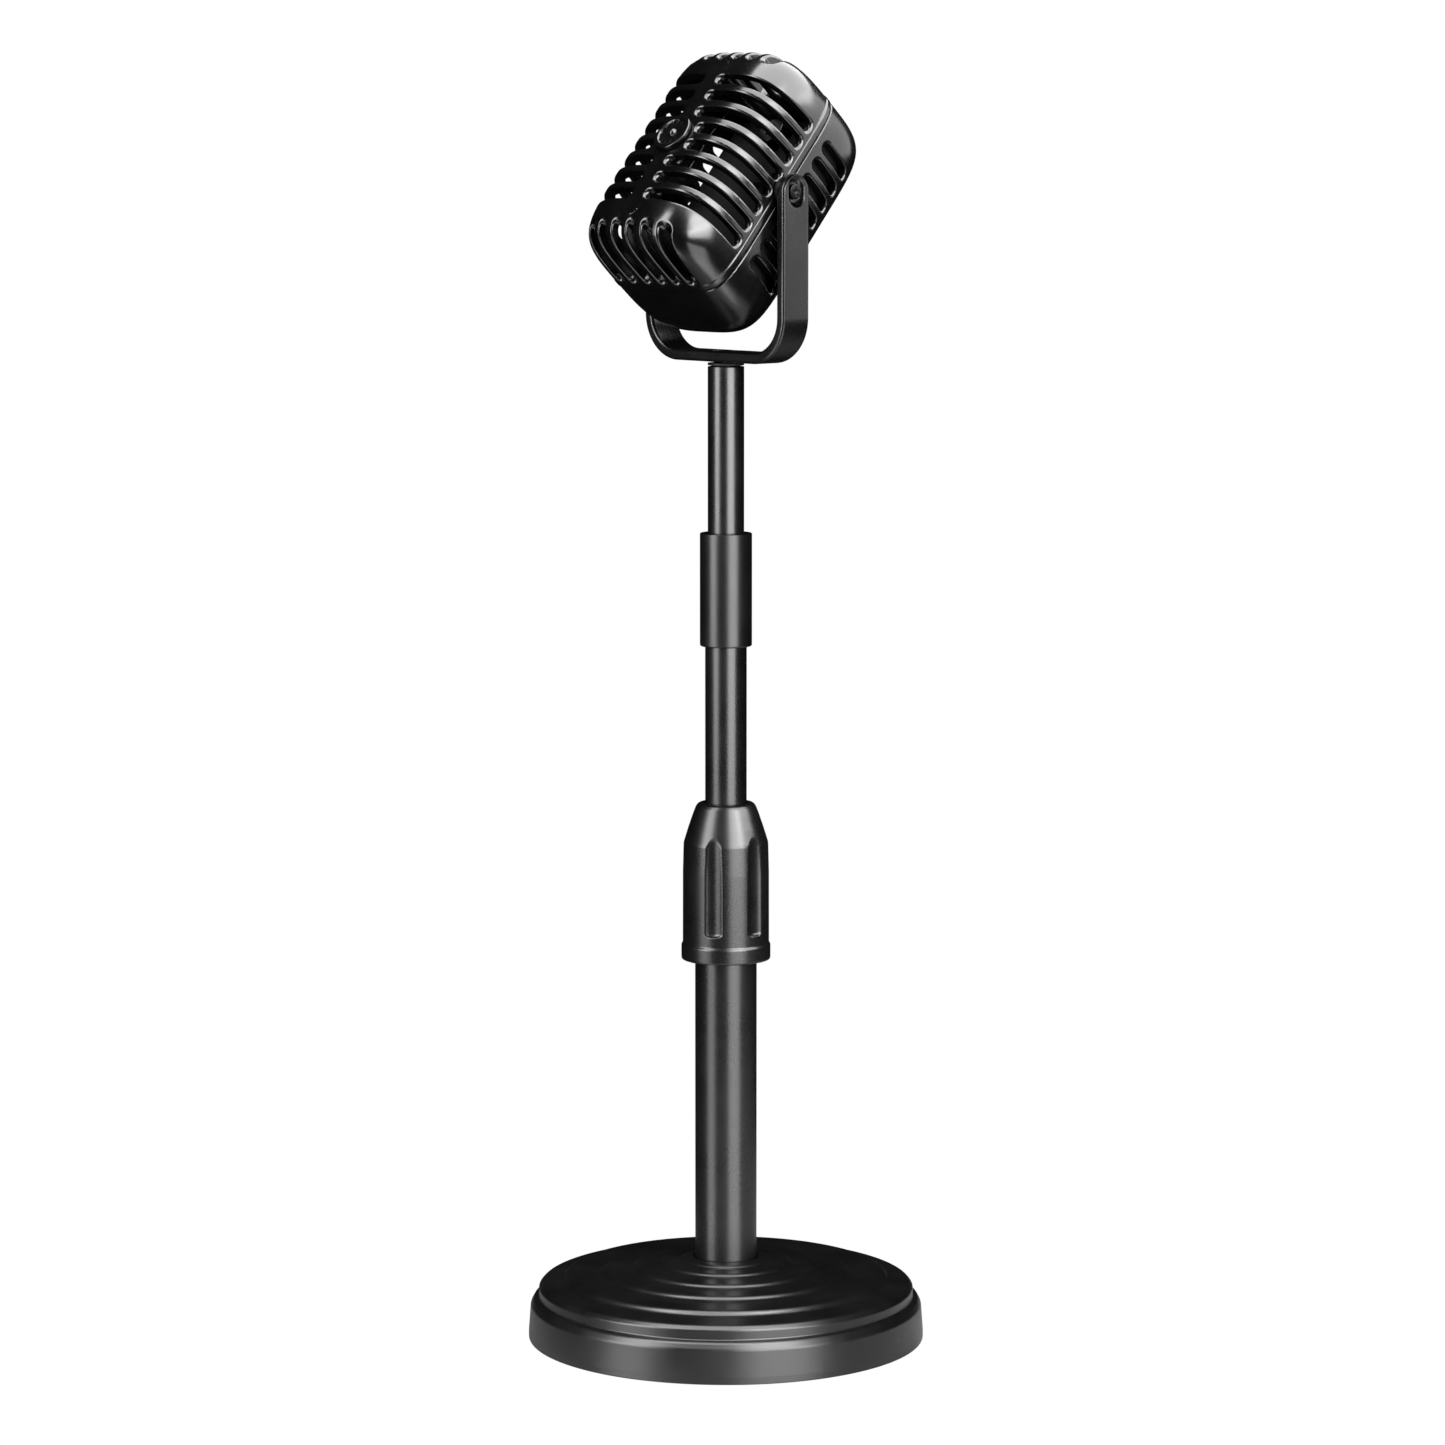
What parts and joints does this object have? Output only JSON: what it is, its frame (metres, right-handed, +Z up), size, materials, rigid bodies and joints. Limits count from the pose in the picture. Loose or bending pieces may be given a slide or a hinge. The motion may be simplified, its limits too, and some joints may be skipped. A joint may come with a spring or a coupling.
{
  "type": "toy microphone",
  "caption": "Retro slotted toy microphone that tilts in a U-shaped yoke on a telescopic desk stand with a twist-lock collar and a round ringed base.",
  "frame": {"origin": "centre of the stand's round foot, on the surface that it stands on", "axes": "+Z up along the stand's tubes; +X along the head's pivot axis, out of the right arm of the yoke; the head's front faces -Y and up"},
  "size_m": [0.1, 0.1, 0.3235],
  "materials": {
    "head_gloss": "gloss black moulded plastic",
    "badge_black": "gloss black moulded plastic",
    "yoke_satin": "satin black moulded plastic",
    "sleeve_satin": "satin black moulded plastic",
    "collar_satin": "satin black moulded plastic",
    "base_satin": "satin black moulded plastic",
    "tube_black": "satin black painted steel tube",
    "filler_matt": "dull black plastic",
    "bush_nylon": "black nylon",
    "brass": "turned brass",
    "screw_steel": "blackened steel",
    "weight_iron": "rough cast iron",
    "pad_foam": "black foam rubber"
  },
  "bodies": {
    "stand": {"base_shell": "base_satin", "base_weight": "weight_iron", "base_plate": "base_satin", "foot_pad": "pad_foam", "base_plate_screw_1": "screw_steel", "base_plate_screw_2": "screw_steel", "base_plate_screw_3": "screw_steel", "lower_tube": "tube_black", "tube_plug": "bush_nylon", "tube_screw": "screw_steel", "tube_screw_washer": "screw_steel", "clutch_ferrule": "bush_nylon", "clutch_collet": "bush_nylon"},
    "lock_collar": {"lock_collar": "collar_satin"},
    "mid_stage": {"mid_tube": "tube_black", "mid_tube_bush": "bush_nylon", "coupling_sleeve": "sleeve_satin", "friction_bush": "bush_nylon"},
    "upper_stage": {"upper_tube": "tube_black", "upper_tube_plug": "bush_nylon", "upper_tube_insert": "brass", "swivel_washer": "bush_nylon", "yoke_screw": "screw_steel"},
    "yoke": {"yoke": "yoke_satin"},
    "head": {"front_shell": "head_gloss", "rear_shell": "head_gloss", "filler_block": "filler_matt", "front_badge": "badge_black", "pivot_boss_left": "screw_steel", "pivot_boss_right": "screw_steel", "friction_washer_left": "bush_nylon", "friction_washer_right": "bush_nylon", "pivot_screw_left": "screw_steel", "pivot_screw_right": "screw_steel", "shell_screw_top": "screw_steel", "shell_screw_bottom": "screw_steel"}
  },
  "joints": [
    {"name": "collar_twist", "type": "hinge", "parent": "stand", "child": "lock_collar", "pos_m": [0, 0, 0.1175], "axis": [0, 0, 1], "range_deg": [0, 90]},
    {"name": "mid_slide", "type": "slide", "parent": "stand", "child": "mid_stage", "axis": [0, 0, 1], "range_m": [-0.038, 0.04]},
    {"name": "upper_slide", "type": "slide", "parent": "mid_stage", "child": "upper_stage", "axis": [0, 0, 1], "range_m": [-0.041, 0.04]},
    {"name": "yoke_swivel", "type": "hinge", "parent": "upper_stage", "child": "yoke", "pos_m": [0, 0, 0.2476], "axis": [0, 0, 1], "continuous": true},
    {"name": "head_tilt", "type": "hinge", "parent": "yoke", "child": "head", "pos_m": [0, 0, 0.2898], "axis": [1, 0, 0], "continuous": true}
  ]
}
